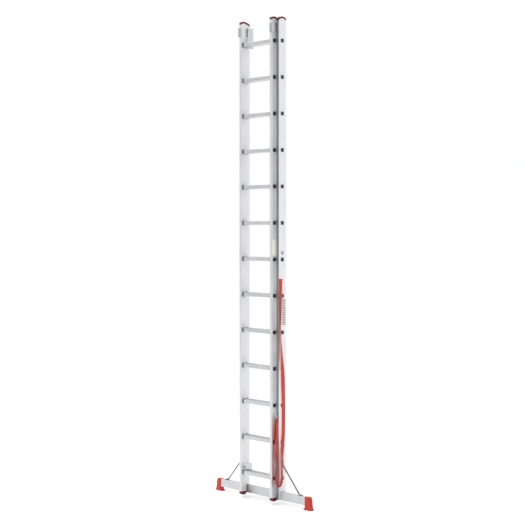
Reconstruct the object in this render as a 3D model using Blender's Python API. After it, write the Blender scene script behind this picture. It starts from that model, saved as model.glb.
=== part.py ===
"""Two-section aluminium extension ladder with a stabiliser bar, closed, upright. Metres, +Z up.

The ladder's width runs along X and its depth along Y. The narrower fly section stands in front, at -Y,
between the guides of the base section. The origin is on the ground, at the middle of the width and depth.
Depths are written as distances behind the fly's front face, and back() turns one into a Y coordinate.
"""

import math

import bmesh
import bpy
from mathutils import Vector

# Overall sizes
RUNG_COUNT = 13
RUNG_PITCH = 0.280
FIRST_RUNG_Z = 0.200
FLY_WIDTH = 0.396
BAR_LENGTH = 1.020

# Aluminium sections. Each fly stile runs beside a base stile, with a gap between them, and its rear edge
# lies this far behind the base stile's front face.
STILE_THICK = 0.025
FLY_DEPTH = 0.052
BASE_DEPTH = 0.073
SIDE_GAP = 0.0105
NEST_DEPTH = 0.013
STILE_WALL = 0.002
RUNG_SIZE = 0.030
RUNG_WALL = 0.0018
RUNG_CORNER = 0.0035
FLY_BELOW_RUNG = 0.150
BASE_BELOW_RUNG = 0.164
STILE_ABOVE_RUNG = 0.171

# End caps and feet of the stiles
CAP_THICK = 0.014
CAP_OVERHANG = 0.001
CAP_PLUG = 0.018
FLY_ARCH_DROP = 0.010
BASE_ARCH_DROP = 0.018
FLY_FOOT_HEIGHT = 0.028
FLY_FOOT_DROP = 0.012

# Stabiliser bar, its feet and its struts
BAR_DEPTH = 0.030
BAR_HEIGHT = 0.062
BAR_WALL = 0.002
BAR_FOOT_THICK = 0.052
BAR_FOOT_FLARE = 0.016
BAR_FOOT_TOE = 0.012
BAR_FOOT_SOLE = 0.009
BAR_FOOT_DEPTH = 0.034
BAR_FOOT_PLUG = 0.040
BAR_CLEARANCE = 0.036
STRUT_THICK = 0.004
STRUT_WIDTH = 0.015
STRUT_TAB_WIDTH = 0.022
STRUT_TAB_LENGTH = 0.034
STRUT_RISE = 0.289
STRUT_REACH = 0.056

# Guides at the top of the base section, which wrap round the fly's stiles
GUIDE_THICK = 0.004
GUIDE_HEIGHT = 0.070
GUIDE_ABOVE_RUNG = 0.135
GUIDE_BELOW_RUNG = 0.027
GUIDE_LIP = 0.034
GUIDE_PLATE_INSET = 0.013
GUIDE_PLATE_DEPTH = 0.055
GUIDE_FRONT_GAP = 0.001
GUIDE_REAR_GAP = 0.003

# Hooks on the fly section, which drop over a rung of the base section
HOOK_THICK = 0.005
HOOK_HEIGHT = 0.054
HOOK_LIP = 0.015
HOOK_LIP_DROP = 0.018
HOOK_LIP_GAP = 0.002
HOOK_RUNG_GAP = 0.001
HOOK_CORNER = 0.020

# Bolts and pins
BOLT_RADIUS = 0.004
BOLT_HEAD_RADIUS = 0.0075
BOLT_HEAD = 0.005
PIN_RADIUS = 0.005
PIN_CLEARANCE = 0.0003
SHANK_PAST_WALL = 0.006

# Safety strap
STRAP_CORE = 0.005
ANCHOR_DEPTH = 0.058
ANCHOR_Z = 1.705
ANCHOR_SIZE = (0.003, 0.034, 0.024)
STRAP_HOOK_Z = 0.665
STRAP_HOOK_WIDTH = 0.016
STRAP_HOOK_REACH = 0.019
STRAP_HOOK_THICK = 0.003

# The gap between pieces that touch, how far a cutter runs past a face, and the sides of a round piece
GAP = 0.0003
PAST = 0.002
ROUND = 16

# Values that follow from the sizes above
RUNG_ZS = [FIRST_RUNG_Z + RUNG_PITCH * step for step in range(RUNG_COUNT)]
TOP_RUNG_Z = RUNG_ZS[-1]
STILE_TOP = TOP_RUNG_Z + STILE_ABOVE_RUNG
FLY_BOTTOM = FIRST_RUNG_Z - FLY_BELOW_RUNG
BASE_BOTTOM = FIRST_RUNG_Z - BASE_BELOW_RUNG
BAR_BOTTOM = BAR_CLEARANCE
BAR_TOP = BAR_BOTTOM + BAR_HEIGHT
BASE_FRONT = FLY_DEPTH - NEST_DEPTH
BASE_REAR = BASE_FRONT + BASE_DEPTH
BASE_MIDDLE = BASE_FRONT + BASE_DEPTH / 2
FLY_MIDDLE = FLY_DEPTH / 2
FLY_OUTER = FLY_WIDTH / 2
FLY_INNER = FLY_OUTER - STILE_THICK
BASE_INNER = FLY_OUTER + SIDE_GAP
BASE_OUTER = BASE_INNER + STILE_THICK
FRONT_MOST = -GUIDE_FRONT_GAP - GUIDE_THICK
REAR_MOST = BASE_REAR + BOLT_HEAD
MIDDLE = (FRONT_MOST + REAR_MOST) / 2
SIDES = {"left": -1, "right": 1}


def back(depth):
    """The Y coordinate of a point this far behind the fly's front face."""
    return depth - MIDDLE


# Meshes -------------------------------------------------------------------------------------------


def at(axis, u, v, w):
    """A point from its two outline coordinates and its height along the axis."""
    return {"X": (w, u, v), "Y": (u, w, v), "Z": (u, v, w)}[axis]


def add_prism(bm, outline, axis, low, high):
    """A closed prism: the outline's two coordinates are the other two axes, in X, Y, Z order."""
    lower = [bm.verts.new(at(axis, u, v, low)) for u, v in outline]
    upper = [bm.verts.new(at(axis, u, v, high)) for u, v in outline]
    count = len(outline)
    bm.faces.new(lower[::-1])
    bm.faces.new(upper)
    for i in range(count):
        j = (i + 1) % count
        bm.faces.new((lower[i], lower[j], upper[j], upper[i]))


def add_tube(bm, outer, inner, axis, low, high):
    """A tube with open ends between two outlines that have the same number of points."""
    rings = []
    for outline in (outer, inner):
        for w in (low, high):
            rings.append([bm.verts.new(at(axis, u, v, w)) for u, v in outline])
    outer_low, outer_high, inner_low, inner_high = rings
    count = len(outer)
    for i in range(count):
        j = (i + 1) % count
        bm.faces.new((outer_low[i], outer_low[j], outer_high[j], outer_high[i]))
        bm.faces.new((inner_low[j], inner_low[i], inner_high[i], inner_high[j]))
        bm.faces.new((outer_low[j], outer_low[i], inner_low[i], inner_low[j]))
        bm.faces.new((outer_high[i], outer_high[j], inner_high[j], inner_high[i]))


def add_turned(bm, profile, axis, centre, segments=ROUND):
    """A solid turned about an axis: the profile's (radius, height) pairs start and end at radius 0."""
    rings = []
    for radius, height in profile:
        if radius == 0:
            rings.append([bm.verts.new(at(axis, centre[0], centre[1], height))])
            continue
        ring = []
        for step in range(segments):
            turn = 2 * math.pi * step / segments
            u = centre[0] + radius * math.cos(turn)
            v = centre[1] + radius * math.sin(turn)
            ring.append(bm.verts.new(at(axis, u, v, height)))
        rings.append(ring)
    for near, far in zip(rings, rings[1:]):
        for i in range(segments):
            j = (i + 1) % segments
            corners = [near[i % len(near)], near[j % len(near)], far[j % len(far)], far[i % len(far)]]
            bm.faces.new(list(dict.fromkeys(corners)))


def rectangle(u_low, u_high, v_low, v_high):
    return [(u_low, v_low), (u_high, v_low), (u_high, v_high), (u_low, v_high)]


def circle(u, v, radius, segments=ROUND):
    turns = [2 * math.pi * step / segments for step in range(segments)]
    return [(u + radius * math.cos(turn), v + radius * math.sin(turn)) for turn in turns]


def arc(u, v, radius, start, end, steps):
    """Points on an arc, with its ends in degrees."""
    turns = [math.radians(start + (end - start) * step / steps) for step in range(steps + 1)]
    return [(u + radius * math.cos(turn), v + radius * math.sin(turn)) for turn in turns]


def rounded_square(u, v, size, radius):
    reach = size / 2 - radius
    points = []
    for quarter, (su, sv) in enumerate([(1, 1), (-1, 1), (-1, -1), (1, -1)]):
        points += arc(u + su * reach, v + sv * reach, radius, 90 * quarter, 90 * quarter + 90, 2)
    return points


# Objects ------------------------------------------------------------------------------------------


def linear(value):
    """One sRGB channel from 0 to 255, as the linear value that a shader takes."""
    value /= 255
    return value / 12.92 if value <= 0.04045 else ((value + 0.055) / 1.055) ** 2.4


def material(name, rgb, roughness, metallic=0.0):
    made = bpy.data.materials.new(name)
    made.use_nodes = True
    shader = made.node_tree.nodes["Principled BSDF"]
    shader.inputs["Base Color"].default_value = (*map(linear, rgb), 1)
    shader.inputs["Roughness"].default_value = roughness
    shader.inputs["Metallic"].default_value = metallic
    return made


def place(name, data, finish, parent=None, location=(0, 0, 0)):
    made = bpy.data.objects.new(name, data)
    bpy.context.scene.collection.objects.link(made)
    made.location = location
    made.parent = parent
    if finish:
        data.materials.append(finish)
    return made


def mesh_of(name, bm, smooth=False):
    bmesh.ops.recalc_face_normals(bm, faces=bm.faces)
    mesh = bpy.data.meshes.new(name)
    bm.to_mesh(mesh)
    bm.free()
    if smooth:
        mesh.shade_smooth()
        mesh.set_sharp_from_angle(angle=math.radians(35))
    return mesh


def helper(name, bm):
    """A cutter, or a shape to be joined: it isn't a part of its own."""
    made = place(name, mesh_of(name, bm), None)
    made.hide_render = True
    made.display_type = "WIRE"
    return made


def boolean(target, other, operation):
    step = target.modifiers.new(operation.lower(), "BOOLEAN")
    step.operation = operation
    step.object = other
    step.solver = "EXACT"


def group(name):
    """An empty that one rigid section's pieces are parented to."""
    made = bpy.data.objects.new(name, None)
    bpy.context.scene.collection.objects.link(made)
    return made


# Stiles and rungs ---------------------------------------------------------------------------------


def arch_of(middle, depth, drop):
    """The centre height and the radius of the arc that a stile's top end follows."""
    radius = ((depth / 2) ** 2 + drop**2) / (2 * drop)
    return STILE_TOP - radius, radius


def arch_points(middle, half, centre_z, radius, steps=10):
    """Points along the arch from its front to its rear, as (Y, Z)."""
    depths = [-half + 2 * half * step / steps for step in range(steps + 1)]
    return [(back(middle + depth), centre_z + math.sqrt(radius**2 - depth**2)) for depth in depths]


def stile(name, side, section, finish, parent):
    """A rectangular tube with a rung's window at each rung, an arched top end and its bolt holes."""
    outer, front, depth, bottom, drop = section
    x_low, x_high = sorted((side * outer, side * (outer - STILE_THICK)))
    bm = bmesh.new()
    outline = rectangle(x_low, x_high, back(front), back(front + depth))
    hollow = rectangle(
        x_low + STILE_WALL, x_high - STILE_WALL, back(front + STILE_WALL), back(front + depth - STILE_WALL)
    )
    add_tube(bm, outline, hollow, "Z", bottom, STILE_TOP)
    tube = place(name, mesh_of(name, bm), finish, parent)

    middle = front + depth / 2
    cut = bmesh.new()
    reach = RUNG_SIZE / 2 + GAP
    for z in RUNG_ZS:
        window = rectangle(back(middle) - reach, back(middle) + reach, z - reach, z + reach)
        add_prism(cut, window, "X", x_low - PAST, x_high + PAST)
    centre_z, radius = arch_of(middle, depth, drop)
    over = arch_points(middle, depth / 2 + PAST, centre_z, radius)
    lid = STILE_TOP + PAST
    add_prism(cut, [*over, (over[-1][0], lid), (over[0][0], lid)], "X", x_low - PAST, x_high + PAST)
    if front:
        slot = BAR_DEPTH / 2 + GAP
        notch = rectangle(back(middle) - slot, back(middle) + slot, bottom - PAST, BAR_TOP + GAP)
        add_prism(cut, notch, "X", x_low - PAST, x_high + PAST)
        hole = BOLT_RADIUS + GAP
        wall = sorted((side * (outer - STILE_WALL - PAST), side * (outer + PAST)))
        add_prism(cut, circle(back(middle), STRUT_BOLT_Z, hole), "X", *wall)
        across = circle(side * BAR_BOLT_X, BAR_BOLT_Z, hole)
        add_prism(cut, across, "Y", back(front - PAST), back(front + STILE_WALL + PAST))
        add_prism(cut, across, "Y", back(front + depth - STILE_WALL - PAST), back(front + depth + PAST))
    else:
        hole = PIN_RADIUS + GAP
        inner = outer - STILE_THICK
        wall = sorted((side * (inner - PAST), side * (inner + STILE_WALL + PAST)))
        add_prism(cut, circle(back(FLY_MIDDLE), HOOK_PIVOT_Z, hole), "X", *wall)
    boolean(tube, helper(name + "_cutter", cut), "DIFFERENCE")
    return tube


def rung(name, z, half_width, middle, finish, parent):
    bm = bmesh.new()
    outer = rounded_square(back(middle), z, RUNG_SIZE, RUNG_CORNER)
    inner = rounded_square(back(middle), z, RUNG_SIZE - 2 * RUNG_WALL, RUNG_CORNER - RUNG_WALL)
    add_tube(bm, outer, inner, "X", -half_width, half_width)
    return place(name, mesh_of(name, bm), finish, parent)


# Caps and feet of the stiles ----------------------------------------------------------------------


def top_cap(name, side, section, finish, parent):
    """An arched cap that follows the stile's top end, with a plug that fits inside the tube."""
    outer, front, depth, _, drop = section
    middle = front + depth / 2
    x_low, x_high = sorted((side * outer, side * (outer - STILE_THICK)))
    centre_z, radius = arch_of(middle, depth, drop)
    half = depth / 2 + CAP_OVERHANG
    under = arch_points(middle, depth / 2, centre_z, radius + GAP)
    rim = under[0][1]
    under = [(back(middle - half), rim), *under, (back(middle + half), rim)]
    over = arch_points(middle, half, centre_z, radius + CAP_THICK)
    bm = bmesh.new()
    add_prism(bm, under + over[::-1], "X", x_low - CAP_OVERHANG, x_high + CAP_OVERHANG)
    cap = place(name, mesh_of(name, bm, smooth=True), finish, parent)

    inset = STILE_WALL + GAP
    half = depth / 2 - inset
    foot = STILE_TOP - drop - CAP_PLUG
    roof = arch_points(middle, half, centre_z, radius + CAP_THICK / 2)
    plug = bmesh.new()
    add_prism(plug, [*roof, (roof[-1][0], foot), (roof[0][0], foot)], "X", x_low + inset, x_high - inset)
    boolean(cap, helper(name + "_plug", plug), "UNION")
    return cap


def fly_foot(name, side, finish, parent):
    """A rubber foot with a crowned sole, and a plug that fits inside the fly's stile."""
    x_low, x_high = sorted((side * FLY_OUTER, side * FLY_INNER))
    top = FLY_BOTTOM - GAP
    half = FLY_DEPTH / 2 + CAP_OVERHANG
    radius = (half**2 + FLY_FOOT_DROP**2) / (2 * FLY_FOOT_DROP)
    centre_z = FLY_BOTTOM - FLY_FOOT_HEIGHT + radius
    steps = 10
    depths = [half - 2 * half * step / steps for step in range(steps + 1)]
    sole = [(back(FLY_MIDDLE + depth), centre_z - math.sqrt(radius**2 - depth**2)) for depth in depths]
    sides = [(back(FLY_MIDDLE - half), top), (back(FLY_MIDDLE + half), top)]
    bm = bmesh.new()
    add_prism(bm, sole + sides, "X", x_low - CAP_OVERHANG, x_high + CAP_OVERHANG)
    foot = place(name, mesh_of(name, bm, smooth=True), finish, parent)

    inset = STILE_WALL + GAP
    plug = bmesh.new()
    inside = rectangle(
        back(inset), back(FLY_DEPTH - inset), FLY_BOTTOM - FLY_FOOT_HEIGHT / 2, FLY_BOTTOM + CAP_PLUG
    )
    add_prism(plug, inside, "X", x_low + inset, x_high - inset)
    boolean(foot, helper(name + "_plug", plug), "UNION")
    return foot


# Stabiliser ---------------------------------------------------------------------------------------

BAR_END = BAR_LENGTH / 2
BAR_BOLT_X = BASE_OUTER - STILE_THICK / 2
BAR_BOLT_Z = BAR_BOTTOM + BAR_HEIGHT / 2
STRUT_BOLT_Z = BAR_BOTTOM + STRUT_RISE
STRUT_BOLT_X = BAR_END - STRUT_REACH


def stabiliser_bar(finish, parent):
    bm = bmesh.new()
    low, high = back(BASE_MIDDLE - BAR_DEPTH / 2), back(BASE_MIDDLE + BAR_DEPTH / 2)
    outer = rectangle(low, high, BAR_BOTTOM, BAR_TOP)
    inner = rectangle(low + BAR_WALL, high - BAR_WALL, BAR_BOTTOM + BAR_WALL, BAR_TOP - BAR_WALL)
    add_tube(bm, outer, inner, "X", -BAR_END, BAR_END)
    bar = place("stabiliser_bar", mesh_of("stabiliser_bar", bm), finish, parent)

    hole = BOLT_RADIUS + GAP
    cut = bmesh.new()
    for side in SIDES.values():
        down = circle(side * STRUT_BOLT_X, back(BASE_MIDDLE), hole)
        add_prism(cut, down, "Z", BAR_TOP - BAR_WALL - PAST, BAR_TOP + PAST)
        across = circle(side * BAR_BOLT_X, BAR_BOLT_Z, hole)
        for depth in (BASE_MIDDLE - BAR_DEPTH / 2, BASE_MIDDLE + BAR_DEPTH / 2):
            add_prism(cut, across, "Y", back(depth - BAR_WALL - PAST), back(depth + BAR_WALL + PAST))
    boolean(bar, helper("stabiliser_bar_cutter", cut), "DIFFERENCE")
    return bar


def stabiliser_foot(name, side, finish, parent):
    """A moulded end foot whose outer side flares out to the ground, with a plug that fits inside the bar."""
    near = BAR_END + GAP
    far = near + BAR_FOOT_THICK
    shoulder = BAR_BOTTOM
    outline = [
        (near - BAR_FOOT_TOE, 0),
        (far + BAR_FOOT_FLARE, 0),
        (far + BAR_FOOT_FLARE, BAR_FOOT_SOLE),
        (far + 0.4 * BAR_FOOT_FLARE, shoulder),
        (far, BAR_TOP - 0.010),
        (far - 0.010, BAR_TOP + 0.002),
        (near, BAR_TOP + 0.002),
        (near, 2 * BAR_FOOT_SOLE),
        (near - BAR_FOOT_TOE, BAR_FOOT_SOLE),
    ]
    low, high = back(BASE_MIDDLE - BAR_FOOT_DEPTH / 2), back(BASE_MIDDLE + BAR_FOOT_DEPTH / 2)
    bm = bmesh.new()
    add_prism(bm, [(side * x, z) for x, z in outline], "Y", low, high)
    foot = place(name, mesh_of(name, bm), finish, parent)

    inset = BAR_WALL + GAP
    plug = bmesh.new()
    inside = rectangle(
        back(BASE_MIDDLE - BAR_DEPTH / 2 + inset),
        back(BASE_MIDDLE + BAR_DEPTH / 2 - inset),
        BAR_BOTTOM + inset,
        BAR_TOP - inset,
    )
    ends = sorted((side * (BAR_END - BAR_FOOT_PLUG), side * (near + BAR_FOOT_THICK / 2)))
    add_prism(plug, inside, "X", *ends)
    boolean(foot, helper(name + "_plug", plug), "UNION")
    return foot


def strut(name, side, finish, parent):
    """A bent strip from the base stile's outer web down to the top of the bar, with wider tabs."""
    half = STRUT_THICK / 2
    web_x = BASE_OUTER + GAP + half
    bar_z = BAR_TOP + GAP + half
    tab = STRUT_TAB_LENGTH / 2
    upper_end = Vector((web_x, STRUT_BOLT_Z - tab))
    lower_end = Vector((STRUT_BOLT_X - tab, bar_z))
    run = (lower_end - upper_end).normalized()
    # Each station: the strip's middle (X, Z), its direction there, and its half width.
    wide, narrow = STRUT_TAB_WIDTH / 2, STRUT_WIDTH / 2
    down, along = Vector((0, -1)), Vector((1, 0))
    stations = [
        (Vector((web_x, STRUT_BOLT_Z + tab)), down, wide * 0.6),
        (Vector((web_x, STRUT_BOLT_Z + tab * 0.6)), down, wide),
        (Vector((web_x, STRUT_BOLT_Z - tab * 0.6)), down, wide),
        (upper_end, (down + run).normalized(), narrow),
        (upper_end + run * tab, run, narrow),
        (lower_end - run * tab, run, narrow),
        (lower_end, (along + run).normalized(), narrow),
        (Vector((STRUT_BOLT_X - tab * 0.6, bar_z)), along, wide),
        (Vector((STRUT_BOLT_X + tab * 0.6, bar_z)), along, wide),
        (Vector((STRUT_BOLT_X + tab, bar_z)), along, wide * 0.6),
    ]
    bm = bmesh.new()
    rings = []
    for middle, way, width in stations:
        normal = Vector((-way.y, way.x)) * half
        ring = []
        for offset, depth in ((normal, -width), (normal, width), (-normal, width), (-normal, -width)):
            point = middle + offset
            ring.append(bm.verts.new((side * point.x, back(BASE_MIDDLE) + depth, point.y)))
        rings.append(ring)
    bm.faces.new(rings[0])
    bm.faces.new(rings[-1][::-1])
    for near, far in zip(rings, rings[1:]):
        for i in range(4):
            j = (i + 1) % 4
            bm.faces.new((near[i], near[j], far[j], far[i]))
    strip = place(name, mesh_of(name, bm), finish, parent)

    hole = BOLT_RADIUS + GAP
    cut = bmesh.new()
    through = sorted((side * (web_x - STRUT_THICK), side * (web_x + STRUT_THICK)))
    add_prism(cut, circle(back(BASE_MIDDLE), STRUT_BOLT_Z, hole), "X", *through)
    tab_hole = circle(side * STRUT_BOLT_X, back(BASE_MIDDLE), hole)
    add_prism(cut, tab_hole, "Z", bar_z - STRUT_THICK, bar_z + STRUT_THICK)
    boolean(strip, helper(name + "_cutter", cut), "DIFFERENCE")
    return strip


def bolt(name, axis, centre, head_seat, outward, shank_end, finish, parent, radius=BOLT_RADIUS):
    """A dome-headed bolt: its head stands outward from head_seat, and its shank runs to shank_end."""
    seat = head_seat + outward * GAP
    crown = BOLT_HEAD_RADIUS * 0.7
    profile = [
        (0, shank_end),
        (radius, shank_end),
        (radius, seat),
        (BOLT_HEAD_RADIUS, seat),
        (BOLT_HEAD_RADIUS, seat + outward * BOLT_HEAD * 0.6),
        (crown, seat + outward * (BOLT_HEAD - GAP)),
        (0, seat + outward * (BOLT_HEAD - GAP)),
    ]
    bm = bmesh.new()
    add_turned(bm, profile, axis, centre)
    return place(name, mesh_of(name, bm, smooth=True), finish, parent)


# Guides, hooks and strap fittings -----------------------------------------------------------------


def top_guide(name, side, finish, parent):
    """A bent plate on the base stile's inner side: it passes in front of and behind the fly's stile, and its
    long rear leg is threaded on the top rung."""
    thick = GUIDE_THICK
    outer = BASE_INNER - GAP
    inner = FLY_INNER - GUIDE_PLATE_INSET
    front = -GUIDE_FRONT_GAP
    rear = FLY_DEPTH + GUIDE_REAR_GAP
    end = rear + GUIDE_PLATE_DEPTH
    outline = [
        (outer - GUIDE_LIP, front - thick),
        (outer, front - thick),
        (outer, rear + thick),
        (inner + thick, rear + thick),
        (inner + thick, end),
        (inner, end),
        (inner, rear),
        (outer - thick, rear),
        (outer - thick, front),
        (outer - GUIDE_LIP, front),
    ]
    top = TOP_RUNG_Z + GUIDE_ABOVE_RUNG
    bottom = TOP_RUNG_Z - GUIDE_BELOW_RUNG
    bm = bmesh.new()
    add_prism(bm, [(side * x, back(depth)) for x, depth in outline], "Z", bottom, top)
    guide = place(name, mesh_of(name, bm), finish, parent)

    cut = bmesh.new()
    across = sorted((side * (inner + thick), side * (outer + PAST)))
    clear = rectangle(*across, back(front - thick - PAST), back(end + PAST))
    add_prism(cut, clear, "Z", bottom - PAST, top - GUIDE_HEIGHT)
    boolean(guide, helper(name + "_cutter", cut), "DIFFERENCE")

    reach = RUNG_SIZE / 2 + GAP
    middle = back(BASE_MIDDLE)
    window = bmesh.new()
    opening = rectangle(middle - reach, middle + reach, TOP_RUNG_Z - reach, TOP_RUNG_Z + reach)
    add_prism(window, opening, "X", *sorted((side * (inner - PAST), side * (inner + thick + PAST))))
    boolean(guide, helper(name + "_window", window), "DIFFERENCE")
    return guide


HOOK_PIVOT_Z = FIRST_RUNG_Z + RUNG_SIZE / 2 + HOOK_RUNG_GAP + HOOK_HEIGHT / 2


def rung_hook(name, side, finish, parent):
    """A pivoting plate whose rear end drops over a base rung. Its origin is on the pivot's axis."""
    half = HOOK_HEIGHT / 2
    reach = BASE_MIDDLE + RUNG_SIZE / 2 + HOOK_LIP_GAP - FLY_MIDDLE
    end = reach + HOOK_LIP
    outline = arc(0, 0, half, 90, 270, 8)
    outline += [(reach, -half), (reach, -half - HOOK_LIP_DROP), (end, -half - HOOK_LIP_DROP)]
    outline += arc(end - HOOK_CORNER, half - HOOK_CORNER, HOOK_CORNER, 0, 90, 5)
    near, far = FLY_INNER - 2 * GAP, FLY_INNER - 2 * GAP - HOOK_THICK
    x_low, x_high = sorted((side * near, side * far))
    hook_x = (x_low + x_high) / 2
    bm = bmesh.new()
    add_prism(bm, outline, "X", x_low - hook_x, x_high - hook_x)
    spot = (hook_x, back(FLY_MIDDLE), HOOK_PIVOT_Z)
    hook = place(name, mesh_of(name, bm), finish, parent, spot)

    cut = bmesh.new()
    add_prism(cut, circle(0, 0, PIN_RADIUS + PIN_CLEARANCE), "X", -HOOK_THICK, HOOK_THICK)
    cutter = helper(name + "_cutter", cut)
    cutter.parent = parent
    cutter.location = spot
    boolean(hook, cutter, "DIFFERENCE")
    return hook


def strap_anchor(finish, parent):
    """A small plate riveted to the outer web of the right base stile, which holds the strap's upper end."""
    thick, depth, height = ANCHOR_SIZE
    low = BASE_OUTER + GAP
    bm = bmesh.new()
    middle = back(ANCHOR_DEPTH)
    face = rectangle(middle - depth / 2, middle + depth / 2, ANCHOR_Z, ANCHOR_Z + height)
    add_prism(bm, face, "X", low, low + thick)
    return place("strap_anchor", mesh_of("strap_anchor", bm), finish, parent)


def strap_hook(finish, parent):
    """A folded strip on the front of the right base stile, whose upturned end holds the strap's eye."""
    thick = STRAP_HOOK_THICK
    rear = BASE_FRONT - GAP
    front = rear - STRAP_HOOK_REACH
    outline = [
        (rear, STRAP_HOOK_Z + 0.030),
        (rear, STRAP_HOOK_Z - thick),
        (front, STRAP_HOOK_Z - thick),
        (front, STRAP_HOOK_Z + 0.010),
        (front + thick, STRAP_HOOK_Z + 0.010),
        (front + thick, STRAP_HOOK_Z),
        (rear - thick, STRAP_HOOK_Z),
        (rear - thick, STRAP_HOOK_Z + 0.030),
    ]
    middle = BASE_OUTER - STILE_THICK / 2
    bm = bmesh.new()
    half = STRAP_HOOK_WIDTH / 2
    add_prism(bm, [(back(depth), z) for depth, z in outline], "X", middle - half, middle + half)
    return place("strap_hook", mesh_of("strap_hook", bm), finish, parent)


# The strap hangs from its anchor on the outer web, turns round below and rises in front of the stile to its
# hook. Each point is (X, depth behind the fly's front face, Z).
STRAP_ROUTE = [
    (0.2375, 0.058, 1.698),
    (0.2380, 0.058, 1.630),
    (0.2405, 0.057, 1.540),
    (0.2440, 0.055, 1.430),
    (0.2465, 0.052, 1.320),
    (0.2480, 0.054, 1.210),
    (0.2495, 0.060, 1.100),
    (0.2460, 0.071, 0.980),
    (0.2410, 0.079, 0.850),
    (0.2400, 0.082, 0.720),
    (0.2405, 0.080, 0.600),
    (0.2440, 0.072, 0.480),
    (0.2490, 0.062, 0.370),
    (0.2500, 0.058, 0.270),
    (0.2490, 0.058, 0.200),
    (0.2460, 0.053, 0.160),
    (0.2390, 0.042, 0.137),
    (0.2330, 0.029, 0.142),
    (0.2280, 0.021, 0.168),
    (0.2250, 0.019, 0.220),
    (0.2230, 0.020, 0.300),
    (0.2220, 0.022, 0.390),
    (0.2215, 0.024, 0.480),
    (0.2210, 0.026, 0.560),
    (0.2210, 0.0275, 0.620),
    (0.2210, 0.0285, 0.658),
]
STRAP_STEPS = 3


def smooth_through(points, steps):
    """A Catmull-Rom curve through the points, with this many stretches between two of them."""
    points = [Vector(point) for point in points]
    padded = [2 * points[0] - points[1], *points, 2 * points[-1] - points[-2]]
    curve = []
    for i in range(len(points) - 1):
        a, b, c, d = padded[i : i + 4]
        for step in range(steps):
            t = step / steps
            bend = (2 * a - 5 * b + 4 * c - d) * t**2 + (3 * b - a - 3 * c + d) * t**3
            curve.append(b + ((c - a) * t + bend) / 2)
    return [*curve, points[-1]]


def strap(finish, parent):
    curve = bpy.data.curves.new("safety_strap", "CURVE")
    curve.dimensions = "3D"
    curve.bevel_depth = STRAP_CORE / 2
    curve.bevel_resolution = 2
    curve.use_fill_caps = True
    route = smooth_through([(x, back(depth), z) for x, depth, z in STRAP_ROUTE], STRAP_STEPS)
    spline = curve.splines.new("POLY")
    spline.points.add(len(route) - 1)
    for point, spot in zip(spline.points, route):
        point.co = (*spot, 1)
    return place("safety_strap", curve, finish, parent)


# Assembly -----------------------------------------------------------------------------------------


def clear_scene():
    for thing in list(bpy.data.objects):
        bpy.data.objects.remove(thing)


def build():
    clear_scene()
    aluminium = material("mill_aluminium", (205, 206, 208), 0.35, 1.0)
    steel = material("zinc_plated_steel", (150, 152, 154), 0.4, 1.0)
    cap_red = material("red_rubber", (150, 28, 34), 0.5)
    foot_red = material("red_plastic", (214, 62, 50), 0.45)
    webbing = material("red_webbing", (206, 66, 52), 0.8)

    base = group("base_section")
    fly = group("fly_section")

    fly_section = (FLY_OUTER, 0.0, FLY_DEPTH, FLY_BOTTOM, FLY_ARCH_DROP)
    base_section = (BASE_OUTER, BASE_FRONT, BASE_DEPTH, BASE_BOTTOM, BASE_ARCH_DROP)
    for number, z in enumerate(RUNG_ZS, start=1):
        rung(f"fly_rung_{number:02d}", z, FLY_OUTER, FLY_MIDDLE, aluminium, fly)
        rung(f"base_rung_{number:02d}", z, BASE_OUTER, BASE_MIDDLE, aluminium, base)
    stabiliser_bar(aluminium, base)
    strap_anchor(steel, base)
    strap_hook(steel, base)
    strap(webbing, base)

    for label, side in SIDES.items():
        stile(f"fly_stile_{label}", side, fly_section, aluminium, fly)
        stile(f"base_stile_{label}", side, base_section, aluminium, base)
        top_cap(f"fly_top_cap_{label}", side, fly_section, cap_red, fly)
        top_cap(f"base_top_cap_{label}", side, base_section, cap_red, base)
        fly_foot(f"fly_foot_{label}", side, cap_red, fly)
        stabiliser_foot(f"stabiliser_foot_{label}", side, foot_red, base)
        strut(f"strut_{label}", side, steel, base)
        top_guide(f"top_guide_{label}", side, steel, base)
        rung_hook(f"rung_hook_{label}", side, steel, fly)

        tab_face = BASE_OUTER + GAP + STRUT_THICK
        bolt(
            f"strut_upper_bolt_{label}", "X", (back(BASE_MIDDLE), STRUT_BOLT_Z),
            side * tab_face, side, side * (BASE_OUTER - SHANK_PAST_WALL), steel, base,
        )
        bolt(
            f"strut_lower_bolt_{label}", "Z", (side * STRUT_BOLT_X, back(BASE_MIDDLE)),
            BAR_TOP + GAP + STRUT_THICK, 1, BAR_TOP - SHANK_PAST_WALL, steel, base,
        )
        bolt(
            f"bar_bolt_{label}", "Y", (side * BAR_BOLT_X, BAR_BOLT_Z),
            back(BASE_REAR), 1, back(BASE_FRONT - SHANK_PAST_WALL), steel, base,
        )
        bolt(
            f"hook_pivot_{label}", "X", (back(FLY_MIDDLE), HOOK_PIVOT_Z),
            side * (FLY_INNER - 3 * GAP - HOOK_THICK), -side, side * (FLY_INNER + SHANK_PAST_WALL),
            steel, fly, PIN_RADIUS,
        )


build()
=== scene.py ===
# %% [markdown]
# # A two-section extension ladder
#
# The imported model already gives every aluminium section, bracket and bolt its true shape and place. This
# lesson adds what makes it look real: die lines in the extrusions, ribbed treads, plastic plugs in the rung
# ends, moulded rubber with soft edges, printed stickers and a woven safety strap. It ends with a bright
# studio. Lengths are in metres. X runs across the ladder, -Y is its front, and Z is up.

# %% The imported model
import math

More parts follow.
